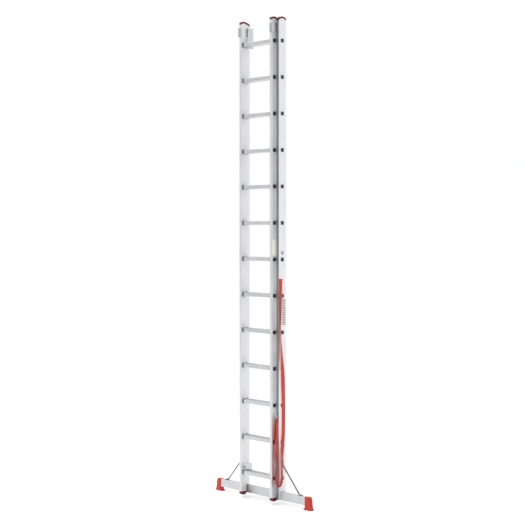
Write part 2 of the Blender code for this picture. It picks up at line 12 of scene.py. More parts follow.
import bmesh
import bpy
import numpy as np
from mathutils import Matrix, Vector


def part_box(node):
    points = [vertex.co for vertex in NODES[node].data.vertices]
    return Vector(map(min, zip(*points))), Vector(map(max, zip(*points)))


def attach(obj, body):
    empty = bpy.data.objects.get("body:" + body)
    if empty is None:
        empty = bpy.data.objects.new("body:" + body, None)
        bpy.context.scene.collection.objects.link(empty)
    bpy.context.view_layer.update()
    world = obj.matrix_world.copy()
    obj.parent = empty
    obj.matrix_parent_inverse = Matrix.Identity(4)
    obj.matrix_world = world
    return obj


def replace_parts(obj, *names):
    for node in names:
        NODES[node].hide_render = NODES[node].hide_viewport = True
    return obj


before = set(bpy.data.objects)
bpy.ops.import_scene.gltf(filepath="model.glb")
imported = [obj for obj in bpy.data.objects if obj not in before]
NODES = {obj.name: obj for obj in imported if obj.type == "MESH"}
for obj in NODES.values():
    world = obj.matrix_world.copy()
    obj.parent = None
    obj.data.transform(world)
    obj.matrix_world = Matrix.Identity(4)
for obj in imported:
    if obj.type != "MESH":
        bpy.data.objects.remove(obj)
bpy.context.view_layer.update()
MM = 0.001
SIDES = {"left": -1, "right": 1}

# %% [markdown]
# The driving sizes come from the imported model's own boxes, so that every piece added here follows the
# ladder if its width, depth or rung pitch changes.

# %% Sizes read from the model
FLY_LOW, FLY_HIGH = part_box("fly_stile_right")
BASE_LOW, BASE_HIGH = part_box("base_stile_right")
RUNG_LOW, RUNG_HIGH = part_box("fly_rung_01")
BASE_RUNG_LOW, BASE_RUNG_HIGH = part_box("base_rung_01")
RUNG_COUNT = sum(name.startswith("fly_rung_") for name in NODES)
RUNG_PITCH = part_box("fly_rung_02")[0].z - RUNG_LOW.z
FIRST_RUNG = (RUNG_LOW.z + RUNG_HIGH.z) / 2
RUNG_SIZE = RUNG_HIGH.z - RUNG_LOW.z
FLY_RUNG_Y = (RUNG_LOW.y + RUNG_HIGH.y) / 2
BASE_RUNG_Y = (BASE_RUNG_LOW.y + BASE_RUNG_HIGH.y) / 2
FRONT = FLY_LOW.y
print("rungs:", RUNG_COUNT, "pitch:", round(RUNG_PITCH, 4), "first at:", round(FIRST_RUNG, 4))

# %% [markdown]
# ## The camera
#
# A long lens far from the ladder keeps its two stiles nearly parallel. The camera looks level, and its
# shift, not a tilt, brings the whole height into the frame, so that the uprights stay upright.

# %% Camera
CAMERA_TURN = math.radians(50.434)
CAMERA_AWAY = 11.2013
CAMERA_HEIGHT = 2.1227
LENS_MM = 98.56
CAMERA_SHIFT = (0.0029, -0.0661)

camera_data = bpy.data.cameras.new("camera")
camera_data.sensor_width = 36
camera_data.lens = LENS_MM
camera_data.shift_x, camera_data.shift_y = CAMERA_SHIFT
camera_data.clip_end = 100
camera = bpy.data.objects.new("camera", camera_data)
camera.location = (
    CAMERA_AWAY * math.sin(CAMERA_TURN), -CAMERA_AWAY * math.cos(CAMERA_TURN), CAMERA_HEIGHT,
)
camera.rotation_euler = (math.radians(90), 0, CAMERA_TURN)
bpy.context.scene.collection.objects.link(camera)
bpy.context.scene.camera = camera
print("camera:", [round(value, 3) for value in camera.location])

# %% [markdown]
# ## Making materials
#
# Each finish is a small node tree round one Principled shader. Four helpers are enough: one turns a screen
# colour into the linear value that a shader takes, one adds a node with its settings and its links, one
# starts a material, and one fades between two tones.

# %% Helpers for materials


def linear(colour):
    """A six-figure sRGB hex colour as linear RGBA."""
    channels = [int(colour[i : i + 2], 16) / 255 for i in (0, 2, 4)]
    return (*[c / 12.92 if c <= 0.04045 else ((c + 0.055) / 1.055) ** 2.4 for c in channels], 1)


def add_node(tree, kind, inputs=None, **settings):
    """Adds a node. An input's value is set on its socket, or joined to it where it is another socket."""
    node = tree.nodes.new(kind)
    for name, value in settings.items():
        setattr(node, name, value)
    for name, value in (inputs or {}).items():
        if isinstance(value, bpy.types.NodeSocket):
            tree.links.new(value, node.inputs[name])
        else:
            node.inputs[name].default_value = value
    return node


def new_finish(name, **sockets):
    """A material with its Principled shader's own sockets set, as (material, tree, shader)."""
    made = bpy.data.materials.new(name)
    made.use_nodes = True
    tree = made.node_tree
    shader = tree.nodes["Principled BSDF"]
    for socket, value in sockets.items():
        shader.inputs[socket.replace("_", " ")].default_value = value
    return made, tree, shader


def two_tones(tree, factor, low, high, start=0.35, end=0.65):
    """A colour that goes from one tone to another as the factor rises."""
    ramp = add_node(tree, "ShaderNodeValToRGB", {"Fac": factor})
    ramp.color_ramp.elements[0].position = start
    ramp.color_ramp.elements[0].color = linear(low)
    ramp.color_ramp.elements[1].position = end
    ramp.color_ramp.elements[1].color = linear(high)
    return ramp.outputs["Color"]


# %% [markdown]
# ### Extruded aluminium
#
# Stiles, rungs and bar are 6000-series aluminium pushed hot through a steel die and left as it comes. The
# die draws fine lines along the whole length, a little brighter or duller than their neighbours, and
# handling leaves faint cloudy patches. So one noise is stretched along the section's length for the lines,
# and another is large and soft for the patches. Real die lines are about 0.3 mm apart. They are drawn
# 2.5 mm apart, which is the finest that still shows from a few metres.

# %% Aluminium
DIE_LINE = 2.5 * MM
DIE_LENGTH = 900 * MM
PATCH = 120 * MM


def extruded(name, along, low, high, roughness=(0.42, 0.54), shaded_depth=None):
    """Aluminium with die lines along one axis. The face at the depth `shaded_depth` is painted darker, as
    painted shade.
    """
    made, tree, shader = new_finish(name, Metallic=1.0)
    place = add_node(tree, "ShaderNodeTexCoord").outputs["Object"]
    stretch = [1 / DIE_LINE] * 3
    stretch["XYZ".index(along)] = 1 / DIE_LENGTH
    lines_at = add_node(tree, "ShaderNodeMapping", {"Vector": place, "Scale": stretch})
    lines = add_node(
        tree, "ShaderNodeTexNoise", {"Vector": lines_at.outputs["Vector"], "Scale": 1.0, "Detail": 3.0}
    )
    patches = add_node(
        tree, "ShaderNodeTexNoise", {"Vector": place, "Scale": 1 / PATCH, "Detail": 2.0}
    )
    both = add_node(
        tree, "ShaderNodeMix", {"Factor": 0.4, "A": lines.outputs["Fac"], "B": patches.outputs["Fac"]}
    )
    mixed = both.outputs["Result"]
    colour = two_tones(tree, mixed, low, high)
    if shaded_depth is not None:
        # Only the face at the front gets the painted shade, so the mask is the distance behind it.
        behind = add_node(tree, "ShaderNodeSeparateXYZ", {"Vector": place}).outputs["Y"]
        unshaded_share = add_node(
            tree, "ShaderNodeMapRange",
            {"Value": behind, "From Min": shaded_depth + 0.4 * MM, "From Max": shaded_depth + 1.5 * MM},
        )
        # Painted shade: a darker grey on the front face, for the shade that face sits in behind the fly
        # stile.
        wear_and_shade_tone = two_tones(tree, mixed, "98999B", "A8A9AB")
        colour = add_node(
            tree, "ShaderNodeMix", {6: wear_and_shade_tone, 7: colour, 0: unshaded_share.outputs["Result"]}, data_type="RGBA"
        ).outputs[2]
    tree.links.new(colour, shader.inputs["Base Color"])
    rough = add_node(
        tree, "ShaderNodeMapRange",
        {"Value": mixed, "From Min": 0.3, "From Max": 0.7, "To Min": roughness[0], "To Max": roughness[1]},
    )
    tree.links.new(rough.outputs["Result"], shader.inputs["Roughness"])
    bump = add_node(
        tree, "ShaderNodeBump", {"Height": lines.outputs["Fac"], "Strength": 0.25, "Distance": 0.05 * MM}
    )
    tree.links.new(bump.outputs["Normal"], shader.inputs["Normal"])
    return made


STILE_METAL = extruded("extruded_aluminium_stile", "Z", "E2E3E4", "F0F0F1", (0.55, 0.68))
# The base stile's front face is painted darker here, as painted shade for the shade it sits in behind the fly
# stile.
STILE_METAL_PAINTED_SHADE = extruded("aluminium_stile_painted_shade", "Z", "E2E3E4", "F0F0F1", (0.55, 0.68), BASE_LOW.y)
RUNG_METAL = extruded("extruded_aluminium_rung", "X", "D2D3D4", "E2E2E3")
BAR_METAL = extruded("extruded_aluminium_bar", "X", "CDCECF", "DCDDDE")
print("aluminium finishes:", STILE_METAL.name, RUNG_METAL.name, BAR_METAL.name)

# %% [markdown]
# ### Zinc-plated steel
#
# Struts, bolts and the strap's fittings are steel with a thin bright zinc plating, a little blue and duller
# than the aluminium. Plated sheet isn't even: it has soft cloudy patches about 15 mm across and a fine
# grain under them from the rolled sheet. Paler tones turn the same recipe into the satin aluminium of the
# guides and rung hooks, and darker, rougher ones into the pressed collars, whose darker tone is painted
# shade where each rung meets the web.

# %% Zinc plating
CLOUD = 15 * MM
GRAIN = 1.2 * MM


def zinc_plated(name, low, high, roughness=(0.32, 0.5)):
    """Plated or pressed metal with cloudy patches between two tones and a fine grain."""
    made, tree, shader = new_finish(name, Metallic=1.0)
    place = add_node(tree, "ShaderNodeTexCoord").outputs["Object"]
    clouds = add_node(tree, "ShaderNodeTexNoise", {"Vector": place, "Scale": 1 / CLOUD, "Detail": 4.0})
    grain = add_node(tree, "ShaderNodeTexNoise", {"Vector": place, "Scale": 1 / GRAIN, "Detail": 1.0})
    tree.links.new(two_tones(tree, clouds.outputs["Fac"], low, high), shader.inputs["Base Color"])
    rough = add_node(
        tree, "ShaderNodeMapRange",
        {"Value": clouds.outputs["Fac"], "From Min": 0.3, "From Max": 0.7,
         "To Min": roughness[0], "To Max": roughness[1]},
    )
    tree.links.new(rough.outputs["Result"], shader.inputs["Roughness"])
    bump = add_node(
        tree, "ShaderNodeBump", {"Height": grain.outputs["Fac"], "Strength": 0.2, "Distance": 0.04 * MM}
    )
    tree.links.new(bump.outputs["Normal"], shader.inputs["Normal"])
    return made


BRACKET_STEEL = zinc_plated("zinc_plated_bracket", "9A9B9E", "B4B5B8")
STRUT_STEEL = zinc_plated("zinc_plated_strut", "808184", "999A9E")
BOLT_STEEL = zinc_plated("zinc_plated_bolt", "7C7E82", "999B9F", (0.25, 0.4))
GUIDE_METAL = zinc_plated("satin_aluminium_guide", "CACBCD", "DADBDD")
# The collars' darker tones are painted shade where each rung meets the web inside the stile.
COLLAR_PAINTED_SHADE = zinc_plated("swaged_collar_painted_shade", "8A8B8D", "A0A1A3", (0.45, 0.6))
print("steel finishes:", BRACKET_STEEL.name, BOLT_STEEL.name, GUIDE_METAL.name, COLLAR_PAINTED_SHADE.name)

# %% [markdown]
# ### Moulded rubber and plastic
#
# Caps and fly feet are dark crimson rubber, the stabiliser's feet are orange-red polypropylene, and the
# rung plugs are black polyethylene. All three are moulded in a spark-eroded tool, which leaves a fine
# pebbled texture. Its pits are about 0.2 mm and are drawn 1.5 mm apart. Soft patches of duller colour
# stand for the dust and rubbing that such pieces collect.

# %% Moulded pieces
PEBBLE = 1.5 * MM
SCUFF = 22 * MM


def moulded(name, wear_and_shade_tone, fresh, roughness, ior):
    """Rubber or plastic with a pebbled skin and patches of a worn tone."""
    made, tree, shader = new_finish(name, IOR=ior)
    place = add_node(tree, "ShaderNodeTexCoord").outputs["Object"]
    scuffs = add_node(tree, "ShaderNodeTexNoise", {"Vector": place, "Scale": 1 / SCUFF, "Detail": 5.0})
    pebbles = add_node(tree, "ShaderNodeTexVoronoi", {"Vector": place, "Scale": 1 / PEBBLE})
    tree.links.new(two_tones(tree, scuffs.outputs["Fac"], fresh, wear_and_shade_tone), shader.inputs["Base Color"])
    rough = add_node(
        tree, "ShaderNodeMapRange",
        {"Value": scuffs.outputs["Fac"], "From Min": 0.3, "From Max": 0.7,
         "To Min": roughness - 0.06, "To Max": roughness + 0.1},
    )
    tree.links.new(rough.outputs["Result"], shader.inputs["Roughness"])
    bump = add_node(
        tree, "ShaderNodeBump",
        {"Height": pebbles.outputs["Distance"], "Strength": 0.25, "Distance": 0.1 * MM},
    )
    tree.links.new(bump.outputs["Normal"], shader.inputs["Normal"])
    return made


CAP_RUBBER = moulded("moulded_crimson_rubber", "6C141C", "5E0A12", 0.5, 1.52)
FOOT_PLASTIC = moulded("moulded_red_polypropylene", "B23022", "B82114", 0.45, 1.49)
PLUG_PLASTIC = moulded("moulded_black_polyethylene", "2E2E30", "19191B", 0.5, 1.51)
print("moulded finishes:", CAP_RUBBER.name, FOOT_PLASTIC.name, PLUG_PLASTIC.name)

# %% [markdown]
# ### Woven webbing
#
# The safety strap is polyester webbing, 27 mm wide. Its warp yarns run along it in narrow ridges, and the
# weft crosses them in a fine step. The pattern follows the strap round its loop, so it reads the strap's
# own UV map, which is measured in metres: U across and V along. Real ridges are 1 mm apart; they are
# drawn 3 mm apart. Fabric also has a soft sheen, which catches light where it turns away.

# %% Webbing
RIDGE = 3.0 * MM
WEFT = 2.4 * MM


def woven(name, low, high, sheen):
    """Woven yarn between two tones, with a tinted sheen."""
    made, tree, shader = new_finish(
        name, Roughness=0.75, Sheen_Weight=0.35, Sheen_Roughness=0.4, Sheen_Tint=linear(sheen)
    )
    flat = add_node(tree, "ShaderNodeUVMap").outputs["UV"]
    across = add_node(tree, "ShaderNodeSeparateXYZ", {"Vector": flat})
    waves = []
    for axis, spacing in (("X", RIDGE), ("Y", WEFT)):
        turn = add_node(
            tree, "ShaderNodeMath", {0: across.outputs[axis], 1: 2 * math.pi / spacing}, operation="MULTIPLY"
        )
        waves.append(add_node(tree, "ShaderNodeMath", {0: turn.outputs[0]}, operation="SINE").outputs[0])
    weave = add_node(tree, "ShaderNodeMath", {0: waves[0], 1: waves[1]}, operation="MAXIMUM").outputs[0]
    height = add_node(
        tree, "ShaderNodeMapRange", {"Value": weave, "From Min": -1.0, "From Max": 1.0}
    ).outputs["Result"]
    fade = add_node(
        tree, "ShaderNodeTexNoise",
        {"Vector": add_node(tree, "ShaderNodeTexCoord").outputs["Object"], "Scale": 1 / SCUFF},
    )
    tone = add_node(
        tree, "ShaderNodeMix", {"Factor": 0.5, "A": height, "B": fade.outputs["Fac"]}
    ).outputs["Result"]
    tree.links.new(two_tones(tree, tone, low, high, 0.2, 0.8), shader.inputs["Base Color"])
    bump = add_node(tree, "ShaderNodeBump", {"Height": height, "Strength": 0.5, "Distance": 0.35 * MM})
    tree.links.new(bump.outputs["Normal"], shader.inputs["Normal"])
    return made


WEBBING = woven("woven_red_webbing", "A93024", "D04434", "FFB8AE")
THREAD = woven("stitched_pale_thread", "E9B9AF", "F6D8D0", "FFFFFF")
print("fabric finishes:", WEBBING.name, THREAD.name)

# %% [markdown]
# ## The safety strap
#
# The strap hangs from a riveted anchor on the right base stile, turns round just above the ground and
# rises to a sewn eye on a hook at the front of the stile. It is limp, so it is modelled as a flat ribbon
# swept along its route: at each point it has a tangent, and a turn about the vertical that says which way
# its width faces. A turn of 0 lays it flat on the stile's web, and 90 faces it to the front.

# %% The strap's route
STRAP_WIDTH = 27 * MM
STRAP_THICK = 1.8 * MM
# Each point is (X, depth behind the ladder's front face, Z).
STRAP_ROUTE = [
    (0.2375, 0.058, 1.698),
    (0.2380, 0.058, 1.630),
    (0.2405, 0.057, 1.540),
    (0.2440, 0.055, 1.430),
    (0.2465, 0.052, 1.320),
    (0.2480, 0.054, 1.210),
    (0.2495, 0.060, 1.100),
    (0.2460, 0.071, 0.980),
    (0.2410, 0.079, 0.850),
    (0.2400, 0.082, 0.720),
    (0.2405, 0.080, 0.600),
    (0.2440, 0.072, 0.480),
    (0.2490, 0.062, 0.370),
    (0.2500, 0.058, 0.270),
    (0.2490, 0.058, 0.200),
    (0.2460, 0.053, 0.160),
    (0.2390, 0.042, 0.137),
    (0.2330, 0.029, 0.142),
    (0.2280, 0.021, 0.168),
    (0.2250, 0.019, 0.220),
    (0.2230, 0.020, 0.300),
    (0.2220, 0.022, 0.390),
    (0.2215, 0.024, 0.480),
    (0.2210, 0.026, 0.560),
    (0.2210, 0.0275, 0.620),
    (0.2210, 0.0285, 0.658),
]
# The strap's turn in degrees at some of those points, by their number in the list.
STRAP_TURNS = [
    (0, 0), (0.8, 2), (2, 24), (2.8, 40), (3.5, 49), (4.3, 53), (5, 68), (6, 92), (7, 140), (8, 158),
    (10, 152), (11, 118), (12, 80), (13, 80), (14, 94), (15, 88), (16, 66), (17, 40), (18, 16), (19, 12),
    (19.8, 35), (20.3, 35), (20.9, 2), (22, 0),
]
STRAP_STEPS = 6


def smooth_through(points, steps):
    """A Catmull-Rom curve through the points, with this many stretches between two of them."""
    points = [Vector(point) for point in points]
    padded = [2 * points[0] - points[1], *points, 2 * points[-1] - points[-2]]
    curve = []
    for i in range(len(points) - 1):
        a, b, c, d = padded[i : i + 4]
        for step in range(steps):
            t = step / steps
            bend = (2 * a - 5 * b + 4 * c - d) * t**2 + (3 * b - a - 3 * c + d) * t**3
            curve.append(b + ((c - a) * t + bend) / 2)
    return [*curve, points[-1]]


route = smooth_through([(x, FRONT + depth, z) for x, depth, z in STRAP_ROUTE], STRAP_STEPS)
STRAP_LENGTH = sum((b - a).length for a, b in zip(route, route[1:]))
print("strap:", len(route), "points,", round(STRAP_LENGTH, 3), "m long")

# %% [markdown]
# A ribbon's cross-section is a flat loop with round edges. Its UV map is in metres, so that the weave
# keeps its size wherever the ribbon bends.

# %% Ribbons


def add_object(name, mesh, finish):
    """A new object in the scene, with its mesh and its finish."""
    made = bpy.data.objects.new(name, mesh)
    bpy.context.scene.collection.objects.link(made)
    mesh.materials.append(finish)
    return made


def finished(name, bm, finish, body, smooth=35):
    """Turns a bmesh into a smooth piece that rides on a body and takes its finish from a slot."""
    bmesh.ops.recalc_face_normals(bm, faces=bm.faces)
    mesh = bpy.data.meshes.new(name)
    bm.to_mesh(mesh)
    bm.free()
    mesh.shade_smooth()
    mesh.set_sharp_from_angle(angle=math.radians(smooth))
    made = add_object(name, mesh, finish)
    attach(made, body)
    return made


def ribbon(bm, centres, turns, widths, thick, closed=False, facing=None):
    """Sweeps a webbing section along the centres, each with its turn in degrees and its width."""
    uv = bm.loops.layers.uv.verify()
    half_section = [(-1.0, 0.3), (-0.93, 0.85), (-0.5, 1.0), (0.0, 1.0), (0.5, 1.0), (0.93, 0.85), (1.0, 0.3)]
    section = half_section + [(u, -v) for u, v in reversed(half_section)]
    rings, run = [], 0.0
    for i, centre in enumerate(centres):
        before = centres[i - 1] if i or closed else centre
        after = centres[(i + 1) % len(centres)] if i + 1 < len(centres) or closed else centre
        tangent = (after - before).normalized()
        across = facing or Vector((-math.sin(math.radians(turns[i])), math.cos(math.radians(turns[i])), 0))
        across = (across - across.dot(tangent) * tangent).normalized()
        normal = tangent.cross(across)
        if i:
            run += (centre - centres[i - 1]).length
        ring = []
        for u, v in section:
            spot = centre + across * u * widths[i] / 2 + normal * v * thick / 2
            ring.append((bm.verts.new(spot), u * widths[i] / 2, run))
        rings.append(ring)
    if closed:
        rings.append([(vert, u, run + (centres[0] - centres[-1]).length) for vert, u, _ in rings[0]])
    count = len(section)
    for near, far in zip(rings, rings[1:]):
        for i in range(count):
            j = (i + 1) % count
            corners = (near[i], near[j], far[j], far[i])
            face = bm.faces.new([corner[0] for corner in corners])
            for loop, (_, u, v) in zip(face.loops, corners):
                loop[uv].uv = (u, v)
    if not closed:
        for ring in (rings[0], rings[-1][::-1]):
            bm.faces.new([corner[0] for corner in ring])


# %% [markdown]
# The ribbon stops where its two layers are sewn together, and the eye above that is a loop of its own,
# bunched to fit behind the hook's lip.

# %% The strap
EYE_FROM = 22
strand = route[: EYE_FROM * STRAP_STEPS + 1]
keys = np.array(STRAP_TURNS, float)
spots = np.arange(len(strand)) / STRAP_STEPS
strand_turns = np.interp(spots, keys[:, 0], keys[:, 1])
# A running mean rounds the corners that straight interpolation leaves.
soft = np.convolve(np.pad(strand_turns, STRAP_STEPS // 2, mode="edge"), np.ones(STRAP_STEPS + 1), "valid")
strand_turns = list(soft / (STRAP_STEPS + 1))
bm = bmesh.new()
ribbon(bm, strand, strand_turns, [STRAP_WIDTH] * len(strand), STRAP_THICK)
strap = finished("safety_strap_webbing", bm, WEBBING, "base", smooth=60)
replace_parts(strap, "safety_strap")
print("strap faces:", len(strap.data.polygons))

# %% [markdown]
# ### The riveted head
#
# At its upper end the webbing is folded over the anchor plate and riveted through it, so the plate is
# hidden behind a short flat stretch of webbing.

# %% Head
ANCHOR_LOW, ANCHOR_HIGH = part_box("strap_anchor")
HEAD_PAST = 1.5 * MM
HEAD_LAP = 5 * MM
head_x = ANCHOR_HIGH.x + 0.6 * STRAP_THICK
head_y = (ANCHOR_LOW.y + ANCHOR_HIGH.y) / 2
head_spots = [
    Vector((head_x, head_y, z)) for z in np.linspace(strand[0].z - HEAD_LAP, ANCHOR_HIGH.z + HEAD_PAST, 6)
]
head_width = STRAP_WIDTH + 2 * MM
bm = bmesh.new()
ribbon(bm, head_spots, [0] * len(head_spots), [head_width] * len(head_spots), STRAP_THICK)
head = finished("safety_strap_head", bm, WEBBING, "base", smooth=60)
print("head faces:", len(head.data.polygons))

# %% [markdown]
# ### The sewn eye
#
# The strap's end is folded back on itself and stitched, which leaves a loop that drops over the hook. The
# webbing crosses the hook behind its lip, so it is bunched narrow there, and it spreads again below.

# %% Eye
HOOK_LOW, HOOK_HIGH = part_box("strap_hook")
EYE_HALF = 14 * MM
EYE_NARROW = 10 * MM
EYE_WIDE = STRAP_WIDTH * 0.92
EYE_TAPER = 0.28
EYE_SEAT = 6 * MM
foot = strand[-1]
shelf = HOOK_LOW.z + EYE_SEAT
middle = Vector(((HOOK_LOW.x + HOOK_HIGH.x) / 2, (HOOK_LOW.y + HOOK_HIGH.y) / 2, 0))
rise = shelf - foot.z
eye_points, eye_widths = [], []
EYE_STEPS = 48
for step in range(EYE_STEPS):
    turn = 2 * math.pi * step / EYE_STEPS
    lift = (1 - math.cos(turn)) / 2
    spread = EYE_HALF * math.sin(turn) * (1.0 - EYE_TAPER * lift)
    lean = (middle.y - foot.y) * lift
    eye_points.append(Vector((middle.x + spread, foot.y + lean, foot.z + rise * lift)))
    eye_widths.append(EYE_WIDE + (EYE_NARROW - EYE_WIDE) * lift**1.5)
bm = bmesh.new()
ribbon(bm, eye_points, None, eye_widths, STRAP_THICK, closed=True, facing=Vector((0, 1, 0)))
eye = finished("safety_strap_eye", bm, WEBBING, "base", smooth=60)
print("eye:", round(rise, 3), "m tall")

# %% [markdown]
# ## Repeats with Geometry Nodes
#
# Everything on a ladder repeats at its rung pitch. One tree can place any small piece at both ends of
# every rung: a line of points goes up the ladder, each point becomes a copy of the piece on the right,
# and a half turn about the vertical gives the one on the left. A half turn, not a mirror, keeps the faces
# pointing outwards. The tree's inputs are named sizes, so the same tree makes plugs and collars.

# %% Helpers for node trees


def new_tree(name, inputs):
    """A Geometry Nodes tree with a geometry output and these named inputs, as (tree, group input, output)."""
    tree = bpy.data.node_groups.new(name, "GeometryNodeTree")
    tree.interface.new_socket("Geometry", in_out="OUTPUT", socket_type="NodeSocketGeometry")
    for label, kind in inputs.items():
        tree.interface.new_socket(label, in_out="INPUT", socket_type="NodeSocket" + kind)
    return tree, add_node(tree, "NodeGroupInput").outputs, add_node(tree, "NodeGroupOutput")


def finish_tree(tree, instances, given, end):
    """Ends a tree: copies become real faces, and they get their material."""
    real = add_node(tree, "GeometryNodeRealizeInstances", {"Geometry": instances})
    painted = add_node(
        tree, "GeometryNodeSetMaterial", {"Geometry": real.outputs[0], "Material": given["Material"]}
    )
    tree.links.new(painted.outputs[0], end.inputs[0])


def grow(name, tree, values, body):
    """Runs a tree with these values, and returns its result as a plain mesh that rides on a body."""
    carrier = bpy.data.objects.new(name + "_carrier", bpy.data.meshes.new(name + "_carrier"))
    bpy.context.scene.collection.objects.link(carrier)
    step = carrier.modifiers.new("nodes", "NODES")
    step.node_group = tree
    for item in tree.interface.items_tree:
        if item.in_out == "INPUT":
            step[item.identifier] = values[item.name]
    bpy.context.view_layer.update()
    graph = bpy.context.evaluated_depsgraph_get()
    mesh = bpy.data.meshes.new_from_object(carrier.evaluated_get(graph), depsgraph=graph)
    carrier.modifiers.clear()
    bpy.data.objects.remove(carrier)
    mesh.name = name
    made = bpy.data.objects.new(name, mesh)
    bpy.context.scene.collection.objects.link(made)
    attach(made, body)
    return made


# %% Tree: a piece at both ends of every rung


def rung_end_tree():
    """A line of points up the ladder, with the piece at the right and the left end of each."""
    tree, given, end = new_tree(
        "both_ends_of_every_rung",
        {"Count": "Int", "Pitch": "Float", "First Height": "Float", "Half Width": "Float", "Depth": "Float",
         "Piece": "Object", "Material": "Material"},
    )
    step = add_node(tree, "ShaderNodeCombineXYZ", {"Z": given["Pitch"]})
    piece = add_node(tree, "GeometryNodeObjectInfo", {"Object": given["Piece"]})
    join = add_node(tree, "GeometryNodeJoinGeometry")
    for side, turn in ((1, 0), (-1, math.pi)):
        reach = add_node(tree, "ShaderNodeMath", {0: given["Half Width"], 1: side}, operation="MULTIPLY")
        start = add_node(
            tree, "ShaderNodeCombineXYZ",
            {"X": reach.outputs[0], "Y": given["Depth"], "Z": given["First Height"]},
        )
        line = add_node(
            tree, "GeometryNodeMeshLine",
            {"Count": given["Count"], "Start Location": start.outputs[0], "Offset": step.outputs[0]},
            mode="OFFSET",
        )
        copies = add_node(
            tree, "GeometryNodeInstanceOnPoints",
            {"Points": line.outputs[0], "Instance": piece.outputs["Geometry"], "Rotation": (0, 0, turn)},
        )
        tree.links.new(copies.outputs[0], join.inputs[0])
    finish_tree(tree, join.outputs[0], given, end)
    return tree


RUNG_ENDS = rung_end_tree()
print("tree:", RUNG_ENDS.name, "with", len(RUNG_ENDS.nodes), "nodes")

# %% [markdown]
# ### Plugs in the rung ends
#
# Each rung passes through both webs of its stile, and a black plug closes its open end on the outside. A
# plug is a rounded square with a low dome and a shallow dish in its middle, built once out of rings.

# %% Plugs


def skinned(loops_of_spots):
    """A closed solid whose skin runs through a row of loops, capped at both ends."""
    bm = bmesh.new()
    loops = [[bm.verts.new(spot) for spot in spots] for spots in loops_of_spots]
    bm.faces.new(loops[0][::-1])
    bm.faces.new(loops[-1])
    for near, far in zip(loops, loops[1:]):
        for i in range(len(near)):
            j = (i + 1) % len(near)
            bm.faces.new((near[i], near[j], far[j], far[i]))
    bmesh.ops.recalc_face_normals(bm, faces=bm.faces)
    return bm


def square_rings(rings, steps=4):
    """A closed solid out of rounded squares round the X axis: each ring is (x, size, corner radius)."""
    loops = []
    for x, size, radius in rings:
        reach = size / 2 - radius
        loop = []
        for quarter, (su, sv) in enumerate([(1, 1), (-1, 1), (-1, -1), (1, -1)]):
            for i in range(steps + 1):
                turn = math.radians(90 * quarter + 90 * i / steps)
                loop.append((x, su * reach + radius * math.cos(turn), sv * reach + radius * math.sin(turn)))
        loops.append(loop)
    return skinned(loops)


def pattern_piece(name, bm):
    """A piece that is only copied. It stays out of the scene, and goes once its copies are made."""
    mesh = bpy.data.meshes.new(name)
    bm.to_mesh(mesh)
    bm.free()
    mesh.shade_smooth()
    mesh.set_sharp_from_angle(angle=math.radians(35))
    return bpy.data.objects.new(name, mesh)


PLUG = RUNG_SIZE - 2 * MM
DOME = 1.6 * MM
plug = pattern_piece(
    "rung_plug",
    square_rings([
        (0.0, PLUG, 4 * MM), (0.5 * DOME, PLUG, 4 * MM), (DOME, PLUG - 3 * MM, 3 * MM),
        (DOME, PLUG - 9 * MM, 2.5 * MM), (0.4 * DOME, PLUG - 12 * MM, 2 * MM),
    ]),
)
ladder = {"Count": RUNG_COUNT, "Pitch": RUNG_PITCH, "First Height": FIRST_RUNG}
ends = {
    "fly": (FLY_HIGH.x, FLY_RUNG_Y),
    "base": (BASE_HIGH.x, BASE_RUNG_Y),
}
for body, (half_width, depth) in ends.items():
    made = grow(
        f"{body}_rung_plugs", RUNG_ENDS,
        {**ladder, "Half Width": half_width, "Depth": depth, "Piece": plug, "Material": PLUG_PLASTIC},
        body,
    )
    print(made.name, len(made.data.polygons), "faces")
bpy.data.objects.remove(plug)

# %% [markdown]
# ### Swaged collars
#
# Inside the stiles each rung is squeezed outwards where it meets the web, and the rim that this leaves
# locks it in place. The collar is a short sleeve, painted darker than the rung as painted shade where the
# rung meets the web.

# %% Collars
COLLAR_LENGTH = 16 * MM
COLLAR_PROUD = 1.6 * MM
collar_size = RUNG_SIZE + 2 * COLLAR_PROUD
collar = pattern_piece(
    "rung_collar",
    square_rings([
        (-0.2 * MM, collar_size + 4 * MM, 6 * MM), (-1.4 * MM, collar_size + 4 * MM, 6 * MM),
        (-2.6 * MM, collar_size, 5 * MM), (-COLLAR_LENGTH + 1.5 * MM, collar_size - 0.6 * MM, 4.5 * MM),
        (-COLLAR_LENGTH, RUNG_SIZE + 0.4 * MM, 4 * MM),
    ]),
)
inner_faces = {"fly": (FLY_LOW.x, FLY_RUNG_Y), "base": (BASE_LOW.x, BASE_RUNG_Y)}
for body, (half_width, depth) in inner_faces.items():
    made = grow(
        f"{body}_rung_collars", RUNG_ENDS,
        {**ladder, "Half Width": half_width, "Depth": depth, "Piece": collar, "Material": COLLAR_PAINTED_SHADE},
        body,
    )
    print(made.name, len(made.data.polygons), "faces")
bpy.data.objects.remove(collar)

# %% [markdown]
# ### Ribbed treads
#
# A shoe would slip on a smooth tube, so the die also leaves low ribs along each rung's top and front.
# The tree crosses a line of rungs with a line of ribs and puts a thin half-round bar at each crossing.

# %% Tree: ribs on the rungs


